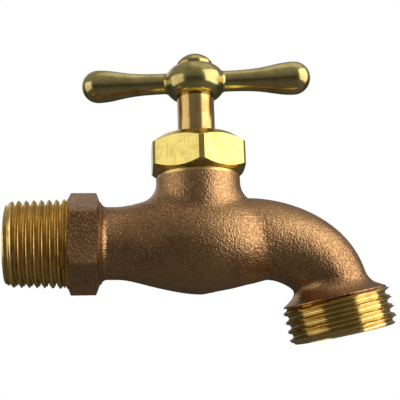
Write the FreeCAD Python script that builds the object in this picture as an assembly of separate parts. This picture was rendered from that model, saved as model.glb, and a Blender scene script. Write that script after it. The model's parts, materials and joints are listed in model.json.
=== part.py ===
import FreeCAD, Part
import math
import os

# A wall-mounted hose bibb. A cast bronze body screws into the wall with a male pipe thread and ends in a
# tilted spout with a male hose thread. A stem with a T handle rises and falls on a screw thread in the neck
# and presses a rubber washer on the seat inside. Millimetres, valve closed. The origin is the centre of the
# inlet's end face, X runs along the inlet to the spout and Z runs up the stem. The two pipe threads are
# rings of their true pitch and depth, and not a helix. The threads inside the tap are plain, at the diameter
# over their crests. A step or a wall is measured on the radius.

INCH = 25.4

# Inlet nipple with a 1/2-14 taper pipe thread
inlet_thread_dia = 20.72
inlet_thread_taper = 1 / 16
inlet_thread_pitch = INCH / 14
inlet_thread_depth = 1.2
inlet_thread_root = 0.28
inlet_thread_grooves = 7
inlet_first_groove = 2.9
inlet_length = 14.85
inlet_end_step = 0.96
inlet_end_chamfer = 1.6
inlet_bore_dia = 12.7

# Cast wrench hexagon behind the thread, its turned end chamfers, and the shoulder that leads to the run
hexagon_across_flats = 21.9
hexagon_length = 7.6
hexagon_corner_radius = 1.0
hexagon_wall_chamfer = 0.7
hexagon_run_chamfer = 1.0
shoulder_step = 0.95
shoulder_length = 0.3
shoulder_blend = 1.6

# Cast run and globe, turned about the inlet axis: distance from the stem axis, and how far the skin stands
# out beyond the run
stem_from_inlet = 46.85
run_wall = 2.5
globe_profile = (
    (-19.0, 0.1),
    (-13.6, 1.3),
    (-7.2, 2.85),
    (1.1, 3.8),
    (9.6, 2.6),
    (17.0, 0.3),
)
globe_end_taper = 0.22

# Spout: where it starts inside the globe, how it bends to the collar, where the rim's centre is, and how the
# outlet tilts back towards the wall
spout_start = 7.5
spout_start_height = 0.4
spout_start_dia = 20.4
spout_start_rise = 9.0
spout_start_pull = 15.0
spout_end_pull = 5.0
spout_steps = 4
spout_bore_start = 14.0
spout_bore_dia = 13.2
spout_wall = 2.2
outlet_reach = 34.6
outlet_drop = 22.6
outlet_tilt = 11.4

# Outlet with a 3/4-11.5 hose thread under a cast collar
hose_thread_dia = 26.9
hose_thread_pitch = INCH / 11.5
hose_thread_depth = 1.43
hose_thread_root = 0.28
hose_thread_grooves = 3
hose_first_groove = 2.695
hose_thread_length = 8.9
hose_rim_step = 1.25
hose_rim_chamfer = 1.5
hose_bore_dia = 19.0
hose_bore_depth = 7.5
hose_bore_blend = 1.5
collar_step = 0.85
collar_edge = 0.3
collar_rise = 1.5
collar_neck_step = 1.25
collar_blend = 2.0

# Seat in the middle of the globe, and the chamber over it
seat_height = -0.5
seat_bore_dia = 10.0
seat_ring_wall = 1.4
seat_ring_rise = 1.2
chamber_gap = 1.3
chamber_top = 5.5

# Waterway under the seat: distance from the stem axis, height of the centre, half height, half width
lower_way_sections = (
    (-17.0, 0.0, inlet_bore_dia / 2, inlet_bore_dia / 2),
    (-9.4, -6.3, 3.0, 6.8),
    (5.6, -6.7, 2.8, 5.4),
)
# Waterway from the chamber into the spout: where it starts and how high its centre is there
upper_way_start = 7.6
upper_way_height = 1.9
upper_way_start_dia = 7.0

# Seat washer, the holder that swivels on the stem's foot, and the screw that holds the washer
seat_washer_overlap = 1.3
seat_washer_thickness = 3.0
holder_wall = 0.55
holder_thickness = 1.8
holder_skirt = 1.4
holder_stub_dia = 5.8
holder_stub_wall = 1.0
holder_stub_length = 4.2
washer_screw_head_dia = 6.6
washer_screw_head_height = 1.8
washer_screw_grip = 1.2

# Stem and its screw motion. The travel gap is what is left over the thread when the valve is open.
stem_dia = 9.4
stem_thread_step = 0.4
stem_thread_length = 5.7
stem_thread_lead = 2.54
stem_turns = 2.5
stem_travel_gap = 0.48
stem_bare_length = 10.7
stem_square = 6.0
stem_square_length = 7.2
stem_edge = 0.5

# Neck with the stuffing box on top
neck_step = 1.15
neck_fillet = 5.2
neck_ring_step = 0.3
neck_ring_height = 0.8
boss_wall = 1.7
boss_height = 5.2
box_step = 0.25
box_depth = 5.1
base_washer_thickness = 0.7
packing_ring_thickness = 1.5
packing_rings = 2
follower_take_up = 0.8
follower_flange_gap = 0.75
follower_flange_thickness = 1.2

# Packing nut
nut_wall = 2.0
nut_corner_step = 1.4
nut_foot_step = 0.55
nut_foot_chamfer = 1.5
nut_roof_thickness = 2.5
nut_crown_step = 1.95
nut_crown_slope = 35.0
nut_turned = -2.3

# T handle and its screw
hub_dia = 15.6
hub_height = 8.2
hub_foot_step = 2.2
hub_crown_step = 2.9
handle_half_length = 29.2
handle_turned = -9.0
arm_ball_dia = 8.4
arm_root_dia = 5.3
arm_middle_dia = 6.4
arm_middle = 17.5
arm_fillet = 1.2
handle_screw_wall = 0.6
handle_screw_length = 10.0
handle_screw_head_dia = 9.1
handle_screw_head_edge = 0.9
handle_screw_head_dome = 2.5
handle_screw_slot = 1.2
handle_screw_slot_depth = 1.4

# Clearances on the radius, and between flat faces that meet when the valve is closed
running_gap = 0.05
thread_gap = 0.05
loose_gap = 0.1
seat_gap = 0.02

# Diameters that follow from what lies inside them, from the seat outwards
seat_ring_dia = seat_bore_dia + 2 * seat_ring_wall
seat_washer_dia = seat_bore_dia + 2 * seat_washer_overlap
washer_pocket_dia = seat_washer_dia + 2 * thread_gap
holder_dia = washer_pocket_dia + 2 * holder_wall
washer_screw_dia = holder_stub_dia - 2 * holder_stub_wall
chamber_dia = holder_dia + 2 * chamber_gap
stem_thread_dia = holder_dia + 2 * stem_thread_step
stem_thread_bore = stem_thread_dia + 2 * thread_gap
box_dia = stem_thread_bore + 2 * box_step
boss_dia = box_dia + 2 * boss_wall
neck_dia = boss_dia + 2 * neck_step
neck_ring_dia = neck_dia - 2 * neck_ring_step
nut_bore = boss_dia + 2 * thread_gap
nut_across_flats = nut_bore + 2 * nut_wall
nut_corner_dia = nut_across_flats + 2 * nut_corner_step
nut_foot_dia = nut_across_flats - 2 * nut_foot_step
nut_crown_dia = nut_across_flats - 2 * nut_crown_step
follower_flange_dia = nut_bore - 2 * follower_flange_gap
handle_screw_dia = stem_square - 2 * handle_screw_wall
hub_foot_dia = hub_dia - 2 * hub_foot_step
hub_crown_dia = hub_dia - 2 * hub_crown_step
run_dia = inlet_bore_dia + 2 * run_wall
shoulder_dia = hexagon_across_flats - 2 * shoulder_step
spout_end_dia = spout_bore_dia + 2 * spout_wall
collar_neck_dia = spout_end_dia + 2 * collar_neck_step
collar_dia = hose_thread_dia - 2 * collar_step
hose_rim_dia = hose_thread_dia - 2 * hose_rim_step

# Places along the inlet and the outlet
hexagon_end = inlet_length + hexagon_length
run_start = hexagon_end + shoulder_length + shoulder_blend
collar_top = hose_thread_length + collar_edge + collar_rise
spout_end = collar_top + collar_blend

# Heights, from the seat upwards
washer_bottom = seat_height + seat_gap
holder_bottom = washer_bottom + seat_washer_thickness
holder_top = holder_bottom + holder_thickness
stem_bottom = holder_top + running_gap
stem_thread_top = stem_bottom + stem_thread_length
lift = stem_thread_lead * stem_turns
box_floor = stem_thread_top + lift + stem_travel_gap
boss_top = box_floor + box_depth
boss_foot = boss_top - boss_height
neck_top = boss_foot - neck_ring_height
packing_floor = box_floor + base_washer_thickness
packing_top = packing_floor + packing_rings * packing_ring_thickness
follower_foot = boss_top + follower_take_up
follower_top = follower_foot + follower_flange_thickness
nut_foot = boss_foot + loose_gap
nut_top = follower_top + nut_roof_thickness
stem_shoulder = nut_top + stem_bare_length
stem_top = stem_shoulder + stem_square_length
hub_middle = stem_shoulder + hub_height / 2
hub_top = stem_shoulder + hub_height

VERTICAL = FreeCAD.Vector(0, 0, 1)
ACROSS = FreeCAD.Vector(0, 1, 0)
ORIGIN = FreeCAD.Vector(0, 0, 0)
HEXAGON_SIDES = 6
THREAD_FLANK = math.tan(math.radians(30))
TOUCH = 0.01
EDGE_SAMPLES = 7


def point(x, z, y=0.0):
    return FreeCAD.Vector(x, y, z)


def rounded(start, corner, end):
    """Two places that carry a profile on from start: through a quarter round near the corner, and its end."""
    pull = math.sin(math.radians(45))
    through = tuple(c * pull + (s + e - c) * (1 - pull) for s, c, e in zip(start, corner, end))
    return through, end


def dome(radius, foot, rise):
    """Two places that carry a profile on over a spherical cap: through the cap, and its top on the axis."""
    sphere = (radius ** 2 + rise ** 2) / (2 * rise)
    half = math.asin(radius / abs(sphere)) / 2
    return (abs(sphere) * math.sin(half), foot + rise - sphere * (1 - math.cos(half))), (0, foot + rise)


def grooved(first, pitch, count, depth, root, crest_at):
    """Places that carry a profile on over thread grooves, from a first groove. crest_at(height) is a radius."""
    half = root / 2 + depth * THREAD_FLANK
    places = []
    for number in range(count):
        middle = first + number * pitch
        floor = crest_at(middle) - depth
        places += [
            (crest_at(middle - half), middle - half), (floor, middle - root / 2),
            (floor, middle + root / 2), (crest_at(middle + half), middle + half),
        ]
    return places


def turned(profile, foot=ORIGIN, lean=0.0):
    """Solid turned about an axis. The profile is places (radius, height), and a round is (through, to)."""
    edges = []
    last = point(*profile[0])
    for step in profile[1:] + profile[:1]:
        if isinstance(step[0], tuple):
            through, end = (point(*place) for place in step)
            edges.append(Part.Arc(last, through, end).toShape())
        else:
            end = point(*step)
            edges.append(Part.LineSegment(last, end).toShape())
        last = end
    solid = Part.Face(Part.Wire(edges)).revolve(ORIGIN, VERTICAL, 360)
    solid.rotate(ORIGIN, ACROSS, lean)
    solid.translate(foot)
    return solid


def edges_where(solid, test):
    """Edges of a solid that pass a test at every place along them."""
    edges = [edge for edge in solid.Edges if not edge.Degenerated]
    return [edge for edge in edges if all(test(place) for place in edge.discretize(EDGE_SAMPLES))]


def disc(dia, bottom, top):
    """Plain cylinder on the stem axis."""
    return Part.makeCylinder(dia / 2, top - bottom, point(stem_from_inlet, bottom))


def ring(outer_dia, inner_dia, bottom, top):
    """Plain ring on the stem axis."""
    return disc(outer_dia, bottom, top).cut(disc(inner_dia, bottom, top))


def square_bar(side, bottom, top):
    """Square bar on the stem axis, turned with the handle."""
    bar = Part.makeBox(side, side, top - bottom, FreeCAD.Vector(-side / 2, -side / 2, bottom))
    bar.rotate(ORIGIN, VERTICAL, handle_turned)
    bar.translate(point(stem_from_inlet, 0))
    return bar


def hexagon(across_flats, bottom, top):
    """Hexagonal bar about the Z axis, with a corner on the Y axis."""
    corner = across_flats / math.sqrt(3)
    turns = [math.tau * side / HEXAGON_SIDES for side in range(HEXAGON_SIDES + 1)]
    corners = [point(corner * math.sin(turn), bottom, corner * math.cos(turn)) for turn in turns]
    return Part.Face(Part.makePolygon(corners)).extrude(VERTICAL * (top - bottom))


def oval(x, z, half_height, half_width, slope=0.0):
    """Section across the run, with its normal sloping down from the X axis by the given angle."""
    scale = FreeCAD.Matrix()
    scale.scale(half_height, half_width, 1.0)
    section = Part.Wire(Part.makeCircle(1.0)).transformGeometry(scale)
    section.Placement = FreeCAD.Placement(point(x, z), FreeCAD.Rotation(ACROSS, 90 + slope))
    return section


def outlet_point(height, radius=0.0):
    """Place in the outlet's own frame: height up its axis from the rim, and radius away from the wall."""
    tilt = math.radians(outlet_tilt)
    return point(
        stem_from_inlet + outlet_reach - height * math.sin(tilt) + radius * math.cos(tilt),
        -outlet_drop + height * math.cos(tilt) + radius * math.sin(tilt),
    )


def spout():
    """Skin of the spout, which narrows along a curve from the globe to the top of the collar."""
    rise = math.radians(spout_start_rise)
    start = point(stem_from_inlet + spout_start, spout_start_height)
    start_pull = start + point(math.cos(rise), math.sin(rise)) * spout_start_pull
    curve = Part.BezierCurve()
    curve.setPoles([start, start_pull, outlet_point(spout_end + spout_end_pull), outlet_point(spout_end)])
    sections = []
    for step in range(spout_steps + 1):
        share = step / spout_steps
        place = curve.value(share)
        along = curve.tangent(share)[0]
        radius = (spout_start_dia + (spout_end_dia - spout_start_dia) * share) / 2
        slope = math.degrees(math.atan2(-along.z, along.x))
        sections.append(oval(place.x, place.z, radius, radius, slope))
    return Part.makeLoft(sections, True)


def inlet_nipple():
    """Tapered nipple, wrench hexagon and shoulder, turned about the inlet axis."""
    def crest_at(height):
        return (inlet_thread_dia + inlet_thread_taper * height) / 2

    grooves = grooved(inlet_first_groove, inlet_thread_pitch, inlet_thread_grooves, inlet_thread_depth,
                      inlet_thread_root, crest_at)
    nipple = turned(
        [(0, 0), (inlet_thread_dia / 2 - inlet_end_step, 0), (crest_at(inlet_end_chamfer), inlet_end_chamfer)]
        + grooves + [(crest_at(inlet_length), inlet_length), (0, inlet_length)])
    flat = hexagon_across_flats / 2
    corner = hexagon_across_flats / math.sqrt(3)
    chamfered = turned([
        (0, inlet_length), (flat, inlet_length), (corner, inlet_length + hexagon_wall_chamfer),
        (corner, hexagon_end - hexagon_run_chamfer), (shoulder_dia / 2, hexagon_end), (0, hexagon_end),
    ])
    wrench = hexagon(hexagon_across_flats, inlet_length, hexagon_end)
    upright = [edge for edge in wrench.Edges if edge.BoundBox.ZLength > hexagon_length - TOUCH]
    wrench = wrench.makeFillet(hexagon_corner_radius, upright).common(chamfered)
    wrench.rotate(ORIGIN, VERTICAL, 90)
    blend_start = (shoulder_dia / 2, hexagon_end + shoulder_length)
    blend_end = (run_dia / 2, run_start)
    shoulder = turned([
        (0, hexagon_end), (shoulder_dia / 2, hexagon_end), blend_start,
        rounded(blend_start, (blend_end[0], blend_start[1]), blend_end), (0, run_start),
    ])
    solid = nipple.fuse(wrench).fuse(shoulder)
    solid.rotate(ORIGIN, ACROSS, 90)
    return solid


def outlet_end():
    """Collar, hose thread and rim, turned about the tilted outlet axis."""
    crest = hose_thread_dia / 2
    grooves = grooved(hose_first_groove, hose_thread_pitch, hose_thread_grooves + 1, hose_thread_depth,
                      hose_thread_root, lambda height: crest)
    last_crest = grooves[-4]
    run_out = (crest - (hose_thread_length - last_crest[1]) / THREAD_FLANK, hose_thread_length)
    blend_start = (collar_neck_dia / 2, collar_top)
    blend_end = (spout_end_dia / 2, spout_end)
    return turned([
        (0, 0), (hose_rim_dia / 2, 0), (crest, hose_rim_chamfer), *grooves[:-3], run_out,
        (collar_dia / 2, hose_thread_length), (collar_dia / 2, hose_thread_length + collar_edge), blend_start,
        rounded(blend_start, (blend_end[0], blend_start[1]), blend_end), (0, spout_end),
    ], outlet_point(0), -outlet_tilt)


def lower_way():
    """Inlet bore, the cored passage that dips under the seat, and the seat's bore."""
    inlet_end = stem_from_inlet + lower_way_sections[0][0]
    sections = [
        oval(stem_from_inlet + x, z, half_height, half_width)
        for x, z, half_height, half_width in lower_way_sections
    ]
    return (
        Part.makeCylinder(inlet_bore_dia / 2, inlet_end, ORIGIN, point(1, 0)),
        Part.makeLoft(sections, True, True),
        disc(seat_bore_dia, lower_way_sections[-1][1], seat_height),
    )


def upper_way():
    """Chamber round the seat, a cone into the spout, the spout's bore with its bend, and the hose bore."""
    seat_ring = disc(seat_ring_dia, seat_height - seat_ring_rise, seat_height)
    chamber = disc(chamber_dia, seat_height - seat_ring_rise, chamber_top).cut(seat_ring)
    bore = spout_bore_dia / 2
    bend_end = outlet_point(spout_end)
    corner = outlet_point(outlet_drop / math.cos(math.radians(outlet_tilt)))
    bend_turn = 90 - outlet_tilt
    to_bend = (corner - bend_end).Length
    bend_radius = to_bend / math.tan(math.radians(bend_turn / 2))
    bend_start = corner - point(to_bend, 0)
    bend_face = Part.Face(Part.Wire(Part.makeCircle(bore, bend_start, point(1, 0))))
    bend = bend_face.revolve(bend_start - VERTICAL * bend_radius, ACROSS, bend_turn)
    throat = upper_way_start_dia / 2
    straight_start = stem_from_inlet + spout_bore_start
    cone = Part.makeLoft([
        oval(stem_from_inlet + upper_way_start, upper_way_height, throat, throat),
        oval(straight_start, 0, bore, bore),
    ], True, True)
    straight = Part.makeCylinder(bore, bend_start.x - straight_start, point(straight_start, 0), point(1, 0))
    mouth = turned([
        (0, 0), (hose_bore_dia / 2, 0), (hose_bore_dia / 2, hose_bore_depth),
        (bore, hose_bore_depth + hose_bore_blend), (bore, spout_end), (0, spout_end),
    ], outlet_point(0), -outlet_tilt)
    return chamber, cone, straight, bend, mouth


def neck_way():
    """Bore for the stem's thread, and the stuffing box over it."""
    return disc(stem_thread_bore, chamber_top, box_floor), disc(box_dia, box_floor, boss_top)


def globe():
    """Run and globe, turned about the inlet axis."""
    swell = Part.BSplineCurve()
    stations = [point(run_dia / 2, run_start)]
    stations += [point(run_dia / 2 + step, stem_from_inlet + x) for x, step in globe_profile]
    swell.interpolate(stations, InitialTangent=VERTICAL, FinalTangent=point(-globe_end_taper, 1))
    start_centre = point(0, run_start)
    end_centre = point(0, stations[-1].z)
    outline = Part.Wire([
        swell.toShape(),
        Part.LineSegment(stations[-1], end_centre).toShape(),
        Part.LineSegment(end_centre, start_centre).toShape(),
        Part.LineSegment(start_centre, stations[0]).toShape(),
    ])
    solid = Part.Face(outline).revolve(ORIGIN, VERTICAL, 360)
    solid.rotate(ORIGIN, ACROSS, 90)
    return solid


def on_neck_root(place):
    """True where the upright neck leaves the globe."""
    away = math.hypot(place.x - stem_from_inlet, place.y)
    return abs(away - neck_dia / 2) < TOUCH and place.z < neck_top - TOUCH


def body():
    casting = globe().fuse(disc(neck_dia, 0, neck_top))
    casting = casting.makeFillet(neck_fillet, edges_where(casting, on_neck_root))
    additions = (
        spout().fuse(outlet_end()),
        inlet_nipple(),
        disc(neck_ring_dia, neck_top, boss_foot),
        disc(boss_dia, boss_foot, boss_top),
    )
    for addition in additions:
        casting = casting.fuse(addition)
    for hollow in lower_way() + upper_way() + neck_way():
        casting = casting.cut(hollow)
    return casting


def packing_nut():
    corner = nut_corner_dia / 2
    crown_drop = (corner - nut_crown_dia / 2) * math.tan(math.radians(nut_crown_slope))
    chamfered = turned([
        (0, nut_foot), (nut_foot_dia / 2, nut_foot), (corner, nut_foot + nut_foot_chamfer),
        (corner, nut_top - crown_drop), (nut_crown_dia / 2, nut_top), (0, nut_top),
    ])
    nut = hexagon(nut_across_flats, nut_foot, nut_top).common(chamfered)
    nut.rotate(ORIGIN, VERTICAL, nut_turned)
    nut.translate(point(stem_from_inlet, 0))
    nut = nut.cut(disc(nut_bore, nut_foot, follower_top))
    return nut.cut(disc(stem_dia + 2 * loose_gap, follower_top, nut_top))


def packing_follower():
    sleeve = disc(box_dia - 2 * loose_gap, packing_top, follower_foot)
    flange = disc(follower_flange_dia, follower_foot, follower_top)
    return sleeve.fuse(flange).cut(disc(stem_dia + 2 * running_gap, packing_top, follower_top))


def box_ring(bottom, thickness, bore_gap):
    """Flat ring that fills the stuffing box round the stem."""
    return ring(box_dia - 2 * loose_gap, stem_dia + 2 * bore_gap, bottom, bottom + thickness)


def stem():
    thread = disc(stem_thread_dia, stem_bottom, stem_thread_top)
    thread = thread.makeChamfer(stem_edge, thread.Edges)
    shank = disc(stem_dia, stem_bottom, stem_shoulder)
    square = square_bar(stem_square, stem_shoulder, stem_top)
    stub_bore = disc(holder_stub_dia + 2 * running_gap, stem_bottom, stem_bottom + holder_stub_length)
    screw_foot = hub_top - handle_screw_length - loose_gap
    screw_bore = disc(handle_screw_dia + 2 * thread_gap, screw_foot, stem_top)
    return thread.fuse(shank).fuse(square).cut(stub_bore).cut(screw_bore)


def washer_holder():
    skirt_foot = holder_bottom - holder_skirt
    bore_top = holder_top + washer_screw_grip + loose_gap
    plate = disc(holder_dia, skirt_foot, holder_top)
    stub = disc(holder_stub_dia, holder_top, holder_top + holder_stub_length)
    pocket = disc(washer_pocket_dia, skirt_foot, holder_bottom)
    screw_bore = disc(washer_screw_dia + 2 * thread_gap, holder_bottom, bore_top)
    return plate.fuse(stub).cut(pocket).cut(screw_bore)


def washer_screw():
    radius = washer_screw_head_dia / 2
    cap = dome(radius, washer_bottom, -washer_screw_head_height)
    head = turned([(0, washer_bottom), (radius, washer_bottom), cap], point(stem_from_inlet, 0))
    return head.fuse(disc(washer_screw_dia, washer_bottom, holder_top + washer_screw_grip))


def handle_arm():
    """One arm of the handle, turned about the Z axis, from the middle of the hub to the ball at its end."""
    root = arm_root_dia / 2
    ball = arm_ball_dia / 2
    ball_centre = handle_half_length - ball
    ball_start = point(ball, ball_centre)
    neck_end = point(root, hub_dia / 2)
    swell = Part.BSplineCurve()
    swell.interpolate(
        [neck_end, point(arm_middle_dia / 2, arm_middle), ball_start],
        InitialTangent=VERTICAL, FinalTangent=VERTICAL)
    through, end = rounded((ball, ball_centre), (ball, handle_half_length), (0, handle_half_length))
    outline = Part.Wire([
        Part.LineSegment(ORIGIN, point(root, 0)).toShape(),
        Part.LineSegment(point(root, 0), neck_end).toShape(),
        swell.toShape(),
        Part.Arc(ball_start, point(*through), point(*end)).toShape(),
        Part.LineSegment(point(*end), ORIGIN).toShape(),
    ])
    return Part.Face(outline).revolve(ORIGIN, VERTICAL, 360)


def on_arm_root(place):
    """True where an arm leaves the hub."""
    return math.hypot(place.y, place.z) < arm_root_dia / 2 + TOUCH and abs(place.x) < hub_dia / 2


def handle():
    foot, crown, middle = hub_foot_dia / 2, hub_crown_dia / 2, hub_height / 2
    solid = turned([(0, -middle), (foot, -middle), ((hub_dia / 2, 0), (crown, middle)), (0, middle)])
    for side in (90, -90):
        arm = handle_arm()
        arm.rotate(ORIGIN, ACROSS, side)
        solid = solid.fuse(arm)
    solid = solid.makeFillet(arm_fillet, edges_where(solid, on_arm_root))
    solid.rotate(ORIGIN, VERTICAL, handle_turned)
    solid.translate(point(stem_from_inlet, hub_middle))
    return solid.cut(square_bar(stem_square + 2 * running_gap, stem_shoulder, hub_top))


def handle_screw():
    radius = handle_screw_head_dia / 2
    cap = dome(radius, handle_screw_head_edge, handle_screw_head_dome)
    slot_floor = handle_screw_head_edge + handle_screw_head_dome - handle_screw_slot_depth
    head = turned([(0, 0), (radius, 0), (radius, handle_screw_head_edge), cap])
    slot = Part.makeBox(handle_screw_head_dia, handle_screw_slot, handle_screw_slot_depth)
    slot.translate(FreeCAD.Vector(-radius, -handle_screw_slot / 2, slot_floor))
    shank = Part.makeCylinder(handle_screw_dia / 2, handle_screw_length, point(0, -handle_screw_length))
    solid = head.cut(slot).fuse(shank)
    solid.rotate(ORIGIN, VERTICAL, handle_turned)
    solid.translate(point(stem_from_inlet, hub_top))
    return solid


pieces = {
    "body": body(),
    "packing_nut": packing_nut(),
    "packing_follower": packing_follower(),
    "packing_base_washer": box_ring(box_floor, base_washer_thickness, loose_gap),
    "stem": stem(),
    "washer_holder": washer_holder(),
    "seat_washer": ring(seat_washer_dia, washer_screw_dia + 2 * loose_gap, washer_bottom, holder_bottom),
    "washer_screw": washer_screw(),
    "handle": handle(),
    "handle_screw": handle_screw(),
}
for number in range(packing_rings):
    floor = packing_floor + number * packing_ring_thickness
    pieces["packing_ring_%d" % (number + 1)] = box_ring(floor, packing_ring_thickness, running_gap)

os.makedirs("parts", exist_ok=True)
for name, shape in pieces.items():
    if not shape.isValid() or len(shape.Solids) != 1:
        raise RuntimeError("%s is not one sound solid" % name)
    shape.Solids[0].exportStep("parts/%s.step" % name)
    print("%-20s %9.2f mm3" % (name, shape.Volume))
print("lift of the stem %.2f mm" % lift)
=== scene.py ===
import json
import math

import bpy
from mathutils import Matrix, Vector


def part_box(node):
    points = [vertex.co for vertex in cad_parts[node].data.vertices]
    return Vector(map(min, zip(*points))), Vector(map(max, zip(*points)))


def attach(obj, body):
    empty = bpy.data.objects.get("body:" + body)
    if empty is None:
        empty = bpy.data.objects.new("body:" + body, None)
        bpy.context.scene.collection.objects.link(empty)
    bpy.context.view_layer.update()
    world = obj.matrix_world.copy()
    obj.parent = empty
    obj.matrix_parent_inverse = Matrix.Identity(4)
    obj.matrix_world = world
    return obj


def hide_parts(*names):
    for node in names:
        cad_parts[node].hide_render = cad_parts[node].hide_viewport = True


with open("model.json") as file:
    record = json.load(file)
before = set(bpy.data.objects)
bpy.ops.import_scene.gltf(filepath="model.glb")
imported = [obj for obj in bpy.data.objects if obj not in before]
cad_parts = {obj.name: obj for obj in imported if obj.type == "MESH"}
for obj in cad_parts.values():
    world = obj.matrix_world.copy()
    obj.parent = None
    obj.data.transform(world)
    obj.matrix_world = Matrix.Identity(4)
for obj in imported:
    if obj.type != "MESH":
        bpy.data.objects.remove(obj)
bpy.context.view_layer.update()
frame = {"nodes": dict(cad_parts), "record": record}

# Body. One bronze casting, tumbled to a rough skin, then turned at the wall end, the neck and the outlet.
# The taper thread for the pipe in the wall and the thread for the hose are cut on it with dies. It screws
# into the wall and carries everything else.
MM = 0.001
mounts = {mount["name"]: mount for mount in frame["record"]["mounts"]}
stem_x = sum(corner.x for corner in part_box("packing_nut")) / 2


def alone(piece):
    """Makes one object the only selected one."""
    bpy.ops.object.select_all(action="DESELECT")
    bpy.context.view_layer.objects.active = piece
    piece.select_set(True)


def edit(piece, select="SELECT"):
    """Opens one object in edit mode, with all of it selected or none."""
    alone(piece)
    bpy.ops.object.mode_set(mode="EDIT")
    bpy.ops.mesh.select_all(action=select)


def close_edit():
    """Goes back to object mode, which writes the mesh."""
    bpy.ops.object.mode_set(mode="OBJECT")


def merged_copy(node, name):
    """Copy of a piece of the plain model, with its loose triangles joined to one skin."""
    piece = bpy.data.objects.new(name, frame["nodes"][node].data.copy())
    bpy.context.scene.collection.objects.link(piece)
    piece.data.materials.clear()
    edit(piece)
    bpy.ops.mesh.customdata_custom_splitnormals_clear()
    bpy.ops.mesh.remove_doubles(threshold=0.001 * MM)
    close_edit()
    return piece


body = merged_copy("body", "cast_body")

# The outlet leans back to the wall. In its own frame, height runs up its axis from the centre of the rim.
outlet_down = Vector(mounts["hose_thread"]["axis"])
outlet_tilt = math.asin(outlet_down.x)
hose_place = Vector(mounts["hose_thread"]["pos_m"])
rim_place = Vector(mounts["hose_face"]["pos_m"])
rim_centre = hose_place + outlet_down * outlet_down.dot(rim_place - hose_place)
to_outlet = Matrix.Translation(rim_centre) @ Matrix.Rotation(-outlet_tilt, 4, "Y")
from_outlet = to_outlet.inverted()


def apply_modifier(piece, kind, **settings):
    """Adds a modifier with its settings and applies it."""
    alone(piece)
    modifier = piece.modifiers.new(kind.title(), kind)
    for key, value in settings.items():
        setattr(modifier, key, value)
    bpy.ops.object.modifier_apply(modifier=modifier.name)


def drawn_line(name, places):
    """Line of edges in the XZ plane, drawn from one vertex by extruding it from place to place."""
    bpy.ops.object.select_all(action="DESELECT")
    bpy.ops.mesh.primitive_plane_add(size=MM, location=(places[0][0], 0, places[0][1]))
    piece = bpy.context.object
    piece.name = name
    bpy.ops.object.transform_apply()
    edit(piece)
    bpy.ops.mesh.merge(type="CENTER")
    for start, end in zip(places, places[1:]):
        step = (end[0] - start[0], 0, end[1] - start[1])
        bpy.ops.mesh.extrude_region_move(TRANSFORM_OT_translate={"value": step})
    close_edit()
    return piece


def turned_piece(name, places, sides):
    """Closed shape turned about the Z axis from a closed outline of places (radius, height)."""
    piece = drawn_line(name, places + places[:1])
    apply_modifier(piece, "SCREW", axis="Z", angle=math.tau, steps=sides, render_steps=sides)
    edit(piece)
    bpy.ops.mesh.remove_doubles(threshold=0.001 * MM)
    bpy.ops.mesh.normals_make_consistent(inside=False)
    close_edit()
    return piece


def place(piece, matrix):
    """Moves a finished shape to its place, with the place in its mesh."""
    piece.data.transform(matrix)
    piece.data.update()


# The cast flare that leads from the spout into the collar is one smooth hollow round. Where it meets the
# collar it stands out from the spout's skin by its reach, and its inner edge lies inside the wall.
flare_radius = 5.2 * MM
flare_reach = 3.85 * MM
flare_skin = 8.76 * MM
flare_inside = flare_skin - MM
collar_top = 9.2 * MM
flare_turn = math.acos(1 - flare_reach / flare_radius)
flare_top = collar_top + flare_radius * math.sin(flare_turn)
flare_steps = 16
flare_places = [(flare_inside, flare_top), (flare_inside, collar_top)]
for step in range(flare_steps + 1):
    turn = flare_turn * (1 - step / flare_steps)
    flare_places.append((
        flare_skin + flare_radius * (1 - math.cos(turn)), flare_top - flare_radius * math.sin(turn)))
flare = turned_piece("collar_flare", flare_places, sides=96)
place(flare, to_outlet)
apply_modifier(body, "BOOLEAN", operation="UNION", solver="EXACT", object=flare)
bpy.data.objects.remove(flare)

# On the hollow side of the spout the two skins meet in a soft turn, as in any casting.
hollow_side = -2.5 * MM
hollow_skin = 7.7 * MM
hollow_bottom = 10.4 * MM
hollow_top = 16.5 * MM
edit(body, "DESELECT")
close_edit()
for vertex in body.data.vertices:
    local = from_outlet @ vertex.co
    on_hollow_side = local.x < hollow_side and math.hypot(local.x, local.y) > hollow_skin
    vertex.select = on_hollow_side and hollow_bottom < local.z < hollow_top
bpy.ops.object.mode_set(mode="EDIT")
bpy.ops.mesh.select_mode(type="VERT")
bpy.ops.mesh.vertices_smooth(factor=0.5, repeat=40)
close_edit()


def fill_grooves(piece, matrix, crest, taper, top):
    """Brings the ring grooves of the plain model's thread back to a plain bar, for the real thread.

    It moves out what lies as deep under the crests as a groove's floor, above the end chamfer and below
    the top."""
    end_chamfer = 1.0 * MM
    least_depth = 0.9 * MM
    most_depth = 1.5 * MM
    back = matrix.inverted()
    for vertex in piece.data.vertices:
        local = back @ vertex.co
        radius = math.hypot(local.x, local.y)
        crest_here = crest + local.z * taper
        if end_chamfer < local.z < top and least_depth < crest_here - radius < most_depth:
            grown = crest_here / radius
            vertex.co = matrix @ Vector((local.x * grown, local.y * grown, local.z))


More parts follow.
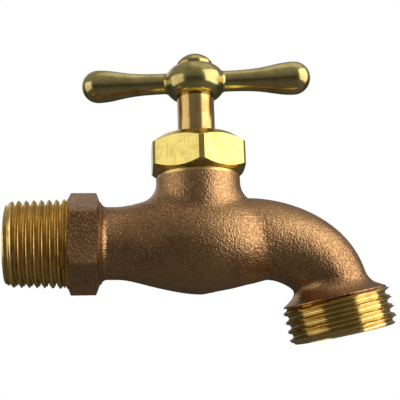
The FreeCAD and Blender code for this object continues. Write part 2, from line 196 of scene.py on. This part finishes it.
def thread_sleeve(name, crest, pitch, half_tooth, first, bottom, top, sides, shape=None):
    """Closed sleeve round the Z axis, whose bore is a screw thread. It cuts that thread on a round bar.

    half_tooth goes from crest to root, as (depth, distance from the crest's middle) in millimetres.
    first is the height of one crest on the XZ plane. shape(height, radius) may change the radius."""
    places = []
    height = first - pitch * math.ceil((first - bottom) / pitch + 1)
    while height < top + pitch:
        places += [(crest - depth * MM, height - away * MM) for depth, away in reversed(half_tooth)]
        places += [(crest - depth * MM, height + away * MM) for depth, away in half_tooth]
        height += pitch
    sleeve = drawn_line(name, places)
    apply_modifier(
        sleeve, "SCREW", axis="Z", angle=math.tau, screw_offset=pitch, steps=sides, render_steps=sides)
    edit(sleeve)
    bpy.ops.mesh.remove_doubles(threshold=0.001 * MM)
    close_edit()
    if shape:
        for vertex in sleeve.data.vertices:
            radius = math.hypot(vertex.co.x, vertex.co.y)
            grown = shape(vertex.co.z, radius) / radius
            vertex.co.x *= grown
            vertex.co.y *= grown
    for height, side in ((bottom, "clear_inner"), (top, "clear_outer")):
        edit(sleeve)
        bpy.ops.mesh.bisect(plane_co=(0, 0, height), plane_no=(0, 0, 1), **{side: True})
        close_edit()
    edit(sleeve, "DESELECT")
    bpy.ops.mesh.select_non_manifold()
    bpy.ops.mesh.extrude_edges_move()
    bpy.ops.transform.resize(value=(1.3, 1.3, 1), center_override=(0, 0, 0))
    bpy.ops.mesh.bridge_edge_loops()
    bpy.ops.mesh.select_all(action="SELECT")
    bpy.ops.mesh.normals_make_consistent(inside=False)
    close_edit()
    return sleeve


def cut(piece, cutter):
    """Cuts one closed shape out of another."""
    apply_modifier(piece, "BOOLEAN", operation="DIFFERENCE", solver="EXACT", object=cutter)
    bpy.data.objects.remove(cutter)


# The pipe thread grows 1/16 towards the hexagon. Its last groove stops dead where the die stopped. The
# crests lose a skim, as under the die, and both cutters start before the end face by the lead-in.
skim = 0.02 * MM
lead_in = 1 * MM
to_inlet = Matrix(((0, 0, 1, 0), (1, 0, 0, 0), (0, 1, 0, 0), (0, 0, 0, 1)))
pipe_crest = mounts["inlet_thread"]["dims"]["r_mm"] * MM
pipe_length = mounts["inlet_thread"]["dims"]["length_mm"] * MM
pipe_taper = 1 / 32
pipe_pitch = 25.4 / 14 * MM
pipe_half_tooth = ((0, 0.04), (0.06, 0.2), (0.2, 0.36), (0.42, 0.5), (1.2, 0.757))
pipe_first_crest = 2.5 * MM
pipe_groove_end = 13.76 * MM
pipe_thread_top = pipe_length - 0.2 * MM


def pipe_shape(height, radius):
    """Radius of the pipe thread's cutter, with the taper. Past the last groove it leaves the bar whole."""
    if height > pipe_groove_end:
        radius = pipe_crest
    if height > pipe_groove_end - pipe_pitch / 2 and radius >= pipe_crest - skim:
        radius += 2 * skim
    return radius + height * pipe_taper - skim


fill_grooves(body, to_inlet, pipe_crest, pipe_taper, pipe_length - skim)
pipe_sleeve = thread_sleeve(
    "pipe_sleeve", pipe_crest, pipe_pitch, pipe_half_tooth, pipe_first_crest, -lead_in, pipe_thread_top,
    sides=120, shape=pipe_shape)
place(pipe_sleeve, to_inlet)
cut(body, pipe_sleeve)

# The hose thread is straight, with blunt crests, and runs out in a notch under the collar.
hose_crest = mounts["hose_thread"]["dims"]["r_mm"] * MM
hose_pitch = 25.4 / 11.5 * MM
hose_half_tooth = ((0, 0.09), (1.12, 0.585), (1.36, 0.805), (1.43, 0.985))
hose_first_crest = 8.77 * MM
hose_thread_top = 8.92 * MM
hose_notch = 6 * skim
fill_grooves(body, to_outlet, hose_crest, 0, hose_thread_top - hose_notch)
hose_sleeve = thread_sleeve(
    "hose_sleeve", hose_crest - skim, hose_pitch, hose_half_tooth, hose_first_crest, -lead_in,
    hose_thread_top, sides=144)
place(hose_sleeve, to_outlet)
cut(body, hose_sleeve)


def smooth(piece, degrees=32):
    """Shades a piece smooth, but keeps its edges."""
    alone(piece)
    bpy.ops.object.shade_smooth_by_angle(angle=math.radians(degrees))


smooth(body)


def linear(code):
    """Scene colour of an sRGB hex value."""
    channels = [int(code[start:start + 2], 16) / 255 for start in (1, 3, 5)]
    return [c / 12.92 if c <= 0.04045 else ((c + 0.055) / 1.055) ** 2.4 for c in channels] + [1]


def add(material, kind, inputs=None, **settings):
    """Adds a node to a material with its settings. An input is a value or another node's socket."""
    node = material.node_tree.nodes.new(kind)
    for key, value in settings.items():
        setattr(node, key, value)
    for socket, value in (inputs or {}).items():
        if isinstance(value, bpy.types.NodeSocket):
            material.node_tree.links.new(value, node.inputs[socket])
        else:
            node.inputs[socket].default_value = value
    return node


def new_material(name):
    """Material with no nodes yet."""
    material = bpy.data.materials.new(name)
    material.use_nodes = True
    material.node_tree.nodes.clear()
    return material


def finish_with(material, shader):
    """Gives a material its surface."""
    add(material, "ShaderNodeOutputMaterial", {"Surface": shader.outputs[0]})
    return material


def per_size(millimetres):
    """Scale of a pattern in object coordinates, whose features are that large."""
    return 1 / (millimetres * MM)


def cast_bronze():
    """Red bronze with a tumbled casting skin: dull brown, with many bright facets where light rakes it.

    The sand left a grain of about half a millimetre, pits of 2 mm, and swells and tarnish of 9 to 14 mm."""
    material = new_material("tumbled_cast_bronze")
    place_on = add(material, "ShaderNodeTexCoord").outputs["Object"]
    grain = add(material, "ShaderNodeTexNoise", {
        "Vector": place_on, "Scale": per_size(0.45), "Detail": 1.0, "Roughness": 0.5})
    pits = add(material, "ShaderNodeTexNoise", {
        "Vector": place_on, "Scale": per_size(2.4), "Detail": 2.0})
    swell = add(material, "ShaderNodeTexNoise", {
        "Vector": place_on, "Scale": per_size(9.0), "Detail": 2.0})
    tarnish = add(material, "ShaderNodeTexNoise", {
        "Vector": place_on, "Scale": per_size(14.0), "Detail": 4.0, "Roughness": 0.65})
    stain = add(material, "ShaderNodeMapRange", {
        "Value": tarnish.outputs[0], "From Min": 0.42, "From Max": 0.62})
    shade = add(material, "ShaderNodeMix", {
        0: stain.outputs[0], 6: linear("#AE8254"), 7: linear("#906540")}, data_type="RGBA")
    speck = add(material, "ShaderNodeMapRange", {
        "Value": grain.outputs[0], "From Min": 0.4, "From Max": 0.75})
    colour = add(material, "ShaderNodeMix", {
        0: speck.outputs[0], 6: shade.outputs[2], 7: linear("#CCA476")}, data_type="RGBA")
    rough = add(material, "ShaderNodeMapRange", {
        "Value": grain.outputs[0], "From Min": 0.3, "From Max": 0.7, "To Min": 0.42, "To Max": 0.28})
    wide = add(material, "ShaderNodeBump", {
        "Height": swell.outputs[0], "Strength": 1.0, "Distance": 0.16 * MM})
    middle = add(material, "ShaderNodeBump", {
        "Height": pits.outputs[0], "Strength": 1.0, "Distance": 0.08 * MM, "Normal": wide.outputs[0]})
    fine = add(material, "ShaderNodeBump", {
        "Height": grain.outputs[0], "Strength": 1.0, "Distance": 0.15 * MM, "Normal": middle.outputs[0]})
    return finish_with(material, add(material, "ShaderNodeBsdfPrincipled", {
        "Base Color": colour.outputs[2], "Metallic": 1.0, "Roughness": rough.outputs[0],
        "Normal": fine.outputs[0]}))


def turned_metal(name, colour, dull, roughness, groove, depth, matrix):
    """Metal turned in a lathe: fine rings round the axis catch the light as short bright lines.

    The rings are groove apart and depth deep, in millimetres. The real ones are about 0.1 mm apart, too
    fine to show, and are drawn coarser. Handling leaves dull patches of about 3 mm in the second colour."""
    material = new_material(name)
    place_on = add(material, "ShaderNodeTexCoord").outputs["Object"]
    turn = matrix.inverted()
    local = add(material, "ShaderNodeMapping", {
        "Vector": place_on, "Location": turn.translation, "Rotation": turn.to_euler()})
    along = add(material, "ShaderNodeSeparateXYZ", {"Vector": local.outputs[0]})
    lathe = add(material, "ShaderNodeTexNoise", {
        "W": along.outputs["Z"], "Scale": per_size(groove), "Detail": 2.0}, noise_dimensions="1D")
    handling = add(material, "ShaderNodeTexNoise", {
        "Vector": place_on, "Scale": per_size(3.0), "Detail": 5.0, "Roughness": 0.7})
    stain = add(material, "ShaderNodeMapRange", {
        "Value": handling.outputs[0], "From Min": 0.45, "From Max": 0.7})
    shade = add(material, "ShaderNodeMix", {
        0: stain.outputs[0], 6: linear(colour), 7: linear(dull)}, data_type="RGBA")
    rough = add(material, "ShaderNodeMapRange", {
        "Value": handling.outputs[0], "From Min": 0.3, "From Max": 0.7,
        "To Min": roughness * 0.8, "To Max": roughness * 1.3})
    bump = add(material, "ShaderNodeBump", {
        "Height": lathe.outputs[0], "Strength": 1.0, "Distance": depth * MM})
    return finish_with(material, add(material, "ShaderNodeBsdfPrincipled", {
        "Base Color": shade.outputs[2], "Metallic": 1.0, "Roughness": rough.outputs[0],
        "Normal": bump.outputs[0]}))


pipe_brass = turned_metal("die_cut_bronze", "#E8C87C", "#C8A054", 0.34, 0.25, 0.004, to_inlet)
hose_brass = turned_metal("turned_bright_bronze", "#E0C684", "#C4A664", 0.16, 0.25, 0.004, to_outlet)
body.data.materials.append(cast_bronze())
body.data.materials.append(pipe_brass)
body.data.materials.append(hose_brass)

# The dies and the lathe left bright metal on the pipe thread, on the top of the neck and on the outlet.
pipe_end = pipe_length - 0.1 * MM
neck_bottom = 16.0 * MM - skim
neck_reach = 10.5 * MM
outlet_top = hose_thread_top + 0.5 * skim
outlet_reach = 14 * MM
for face in body.data.polygons:
    centre = face.center
    local = from_outlet @ centre
    on_neck = centre.z > neck_bottom and math.hypot(centre.x - stem_x, centre.y) < neck_reach
    if centre.x < pipe_end or on_neck:
        face.material_index = 1
    elif local.z < outlet_top and math.hypot(local.x, local.y) < outlet_reach:
        face.material_index = 2
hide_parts("body")
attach(body, "valve_body")

# Packing nut. Milled from hexagonal brass bar, with a turned crown and foot, and left bright. It screws on
# the neck and presses the packing down on the stem.
nut = merged_copy("packing_nut", "hex_packing_nut")


def soften(piece, width, degrees=25):
    """Takes the sharpness off the edges of a machined piece, as tumbling does. Its faces stay flat."""
    edit(piece)
    bpy.ops.mesh.dissolve_limited(angle_limit=math.radians(0.5))
    close_edit()
    apply_modifier(
        piece, "BEVEL", width=width, segments=2, limit_method="ANGLE", angle_limit=math.radians(degrees))
    smooth(piece, degrees)
    apply_modifier(piece, "WEIGHTED_NORMAL", mode="FACE_AREA", weight=100, keep_sharp=True)


soften(nut, 0.12 * MM, 20)


def milled_brass():
    """Yellow brass with milled flats: nearly a mirror, with fine scratches from the bar and the wrench.

    Patches of handling are about 2.5 mm wide. The slanted scratches are drawn 0.4 mm wide, because the
    real ones are too fine to show."""
    material = new_material("milled_yellow_brass")
    place_on = add(material, "ShaderNodeTexCoord").outputs["Object"]
    handling = add(material, "ShaderNodeTexNoise", {
        "Vector": place_on, "Scale": per_size(2.5), "Detail": 6.0, "Roughness": 0.7})
    slanted = add(material, "ShaderNodeMapping", {
        "Vector": place_on, "Rotation": (0, math.radians(35), 0), "Scale": (1, 1, 0.08)})
    scratch = add(material, "ShaderNodeTexNoise", {
        "Vector": slanted.outputs[0], "Scale": per_size(0.4), "Detail": 3.0, "Roughness": 0.7})
    line = add(material, "ShaderNodeMapRange", {
        "Value": scratch.outputs[0], "From Min": 0.62, "From Max": 0.7})
    stain = add(material, "ShaderNodeMapRange", {
        "Value": handling.outputs[0], "From Min": 0.45, "From Max": 0.75})
    shade = add(material, "ShaderNodeMix", {
        0: stain.outputs[0], 6: linear("#EAD47A"), 7: linear("#D2B258")}, data_type="RGBA")
    rough = add(material, "ShaderNodeMapRange", {
        "Value": handling.outputs[0], "From Min": 0.3, "From Max": 0.7, "To Min": 0.12, "To Max": 0.24})
    mottle = add(material, "ShaderNodeBump", {
        "Height": handling.outputs[0], "Strength": 1.0, "Distance": 0.012 * MM})
    bump = add(material, "ShaderNodeBump", {
        "Height": line.outputs[0], "Strength": 0.6, "Distance": 0.02 * MM, "Normal": mottle.outputs[0]})
    return finish_with(material, add(material, "ShaderNodeBsdfPrincipled", {
        "Base Color": shade.outputs[2], "Metallic": 1.0, "Roughness": rough.outputs[0],
        "Normal": bump.outputs[0]}))


nut.data.materials.append(milled_brass())
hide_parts("packing_nut")
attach(nut, "valve_body")

# Stem. Turned from brass rod, with a coarse thread at its foot that runs in the body's neck, and a square
# at its top that drives the handle.
stem = merged_copy("stem", "turned_stem")
to_stem = Matrix.Translation((stem_x, 0, 0))
soften(stem, 0.08 * MM)
stem_brass = turned_metal("turned_stem_brass", "#D4B070", "#B08E50", 0.2, 0.35, 0.003, to_stem)
stem.data.materials.append(stem_brass)
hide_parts("stem")
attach(stem, "stem_and_handle")

# Handle. A T cast in yellow brass in a two-part mould and tumbled to a satin skin. It sits on the stem's
# square, and its screw holds it down.
handle = merged_copy("handle", "t_handle")
smooth(handle)


def satin_brass():
    """Cast yellow brass, tumbled smooth: olive yellow, satin, with soft uneven patches and small pits.

    The patches are about 3 mm wide and the pits under 1 mm."""
    material = new_material("tumbled_yellow_brass")
    place_on = add(material, "ShaderNodeTexCoord").outputs["Object"]
    patch = add(material, "ShaderNodeTexNoise", {
        "Vector": place_on, "Scale": per_size(3.0), "Detail": 4.0, "Roughness": 0.6})
    grain = add(material, "ShaderNodeTexNoise", {
        "Vector": place_on, "Scale": per_size(0.7), "Detail": 3.0, "Roughness": 0.6})
    stain = add(material, "ShaderNodeMapRange", {
        "Value": patch.outputs[0], "From Min": 0.4, "From Max": 0.7})
    shade = add(material, "ShaderNodeMix", {
        0: stain.outputs[0], 6: linear("#D0BE7C"), 7: linear("#AC9A5C")}, data_type="RGBA")
    rough = add(material, "ShaderNodeMapRange", {
        "Value": patch.outputs[0], "From Min": 0.3, "From Max": 0.7, "To Min": 0.15, "To Max": 0.26})
    wide = add(material, "ShaderNodeBump", {
        "Height": patch.outputs[0], "Strength": 1.0, "Distance": 0.02 * MM})
    fine = add(material, "ShaderNodeBump", {
        "Height": grain.outputs[0], "Strength": 1.0, "Distance": 0.006 * MM, "Normal": wide.outputs[0]})
    return finish_with(material, add(material, "ShaderNodeBsdfPrincipled", {
        "Base Color": shade.outputs[2], "Metallic": 1.0, "Roughness": rough.outputs[0],
        "Normal": fine.outputs[0]}))


handle.data.materials.append(satin_brass())
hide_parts("handle")
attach(handle, "stem_and_handle")

# Handle screw. Turned from brass rod, with a domed head and a slot. It goes into the stem's top and holds
# the handle down on the square.
screw = merged_copy("handle_screw", "handle_screw_brass")
soften(screw, 0.08 * MM)
screw_brass = turned_metal("turned_screw_brass", "#D0B468", "#A48A48", 0.2, 0.3, 0.008, to_stem)
screw.data.materials.append(screw_brass)
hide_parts("handle_screw")
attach(screw, "stem_and_handle")

# Inner fittings. The follower and the base washer are turned brass, and the nut holds them in place. The
# holder and its screw are turned brass too, and on the real tap they rise and fall with the stem's foot.
# Here they are only given their finish.
inner_brass = turned_metal("turned_inner_brass", "#CDAA66", "#9C7A44", 0.26, 0.3, 0.01, to_stem)


def dress(node, material):
    """Gives a piece of the plain model its finish."""
    materials = frame["nodes"][node].data.materials
    materials.clear()
    materials.append(material)


for node in ("packing_follower", "packing_base_washer", "washer_holder", "washer_screw"):
    dress(node, inner_brass)


# Seals. Two rings of braided fibre with graphite are pressed round the stem by the follower. A washer of
# moulded rubber is held on the holder by its screw, and closes the seat.
def dull_seal(name, colour, light, size, depth, roughness):
    """Matt dark seal: an even speckle in the colour, and a soft grain where it was pressed."""
    material = new_material(name)
    place_on = add(material, "ShaderNodeTexCoord").outputs["Object"]
    grain = add(material, "ShaderNodeTexNoise", {
        "Vector": place_on, "Scale": per_size(size), "Detail": 4.0})
    shade = add(material, "ShaderNodeMix", {
        0: grain.outputs[0], 6: linear(colour), 7: linear(light)}, data_type="RGBA")
    bump = add(material, "ShaderNodeBump", {
        "Height": grain.outputs[0], "Strength": 1.0, "Distance": depth * MM})
    return finish_with(material, add(material, "ShaderNodeBsdfPrincipled", {
        "Base Color": shade.outputs[2], "Roughness": roughness, "Normal": bump.outputs[0]}))


packing = dull_seal("graphite_fibre_packing", "#1C1C1D", "#3A3A3C", 0.5, 0.06, 0.6)
for number in (1, 2):
    dress("packing_ring_%d" % number, packing)
dress("seat_washer", dull_seal("moulded_black_rubber", "#101010", "#1E1D1C", 1.0, 0.02, 0.75))

# Floor and light. The floor lies far below the part and is white to the camera. A large soft box stands to
# the right and another to the left, with weak ones above and behind. The metal shows the room, which is dim
# as a studio is round the camera, and a little brighter above.
floor_height = -350 * MM
bpy.ops.object.select_all(action="DESELECT")
bpy.ops.mesh.primitive_plane_add(size=12, location=(0, 0, floor_height))
floor = bpy.context.object
floor.name = "floor"
pale = new_material("pale_floor")
ray = add(pale, "ShaderNodeLightPath")
paint = add(pale, "ShaderNodeBsdfDiffuse", {"Color": linear("#747474")})
white = add(pale, "ShaderNodeEmission", {"Color": (1, 1, 1, 1), "Strength": 1.0})
mixed = add(pale, "ShaderNodeMixShader", {
    0: ray.outputs["Is Camera Ray"], 1: paint.outputs[0], 2: white.outputs[0]})
floor.data.materials.append(finish_with(pale, mixed))

world = bpy.data.worlds.new("studio")
bpy.context.scene.world = world
world.use_nodes = True
world.node_tree.nodes.clear()
seen = add(world, "ShaderNodeLightPath")
way_on = add(world, "ShaderNodeTexCoord").outputs["Generated"]
way = add(world, "ShaderNodeSeparateXYZ", {"Vector": way_on})
room = add(world, "ShaderNodeMapRange", {
    "Value": way.outputs["Z"], "From Min": 0.0, "From Max": 1.0, "To Min": 0.12, "To Max": 0.38})
level = add(world, "ShaderNodeMix", {
    0: seen.outputs["Is Camera Ray"], 2: room.outputs[0], 3: 1.0}, data_type="FLOAT")
sky = add(world, "ShaderNodeBackground", {"Color": (1, 1, 1, 1), "Strength": level.outputs[0]})
add(world, "ShaderNodeOutputWorld", {"Surface": sky.outputs[0]})

light_centre = Vector((46, 0, 8)) * MM


def soft_box(name, azimuth, elevation, distance, width, height, radiance):
    """Rectangular lamp that faces the part, in degrees and metres. Azimuth is to the right of the front."""
    turn, lift = math.radians(azimuth), math.radians(elevation)
    away = Vector((math.sin(turn) * math.cos(lift), -math.cos(turn) * math.cos(lift), math.sin(lift)))
    lamp = bpy.data.lights.new(name, "AREA")
    lamp.shape = "RECTANGLE"
    lamp.size = width
    lamp.size_y = height
    lamp.energy = radiance * math.pi * width * height
    holder = bpy.data.objects.new(name, lamp)
    holder.location = light_centre + away * distance
    holder.rotation_euler = away.to_track_quat("Z", "Y").to_euler()
    holder.visible_camera = False
    bpy.context.scene.collection.objects.link(holder)


soft_box("key_box", 63, 14, 0.6, 0.74, 0.8, 2.1)
soft_box("left_box", -78, 2, 0.7, 0.74, 0.6, 1.0)
soft_box("top_box", 70, 76, 0.6, 0.5, 0.5, 0.4)
soft_box("rear_box", -160, 28, 0.8, 0.6, 0.5, 0.5)

# Camera. Close to the part, a little below its middle, turned right, aimed up and rolled by these degrees,
# as in the photograph, whose lens axis isn't in the middle of its frame.
camera_place = Vector((21.85, -184.7, -25.3)) * MM
camera_turn = 4.7895
camera_tilt = 11.7402
camera_roll = -1.1301
frame_pixels = 400
focal_pixels = 764
centre_pixels = (160, 190)
sensor = 36
lens = bpy.data.cameras.new("camera")
lens.sensor_width = sensor
lens.lens = focal_pixels / frame_pixels * sensor
lens.shift_x = 0.5 - centre_pixels[0] / frame_pixels
lens.shift_y = centre_pixels[1] / frame_pixels - 0.5
lens.clip_start = 10 * MM
camera = bpy.data.objects.new("camera", lens)
aim = (
    Matrix.Rotation(math.radians(-camera_turn), 4, "Z")
    @ Matrix.Rotation(math.radians(90 + camera_tilt), 4, "X")
    @ Matrix.Rotation(math.radians(camera_roll), 4, "Z"))
camera.matrix_world = Matrix.Translation(camera_place) @ aim
bpy.context.scene.collection.objects.link(camera)
bpy.context.scene.camera = camera
bpy.context.scene.view_settings.view_transform = "Standard"
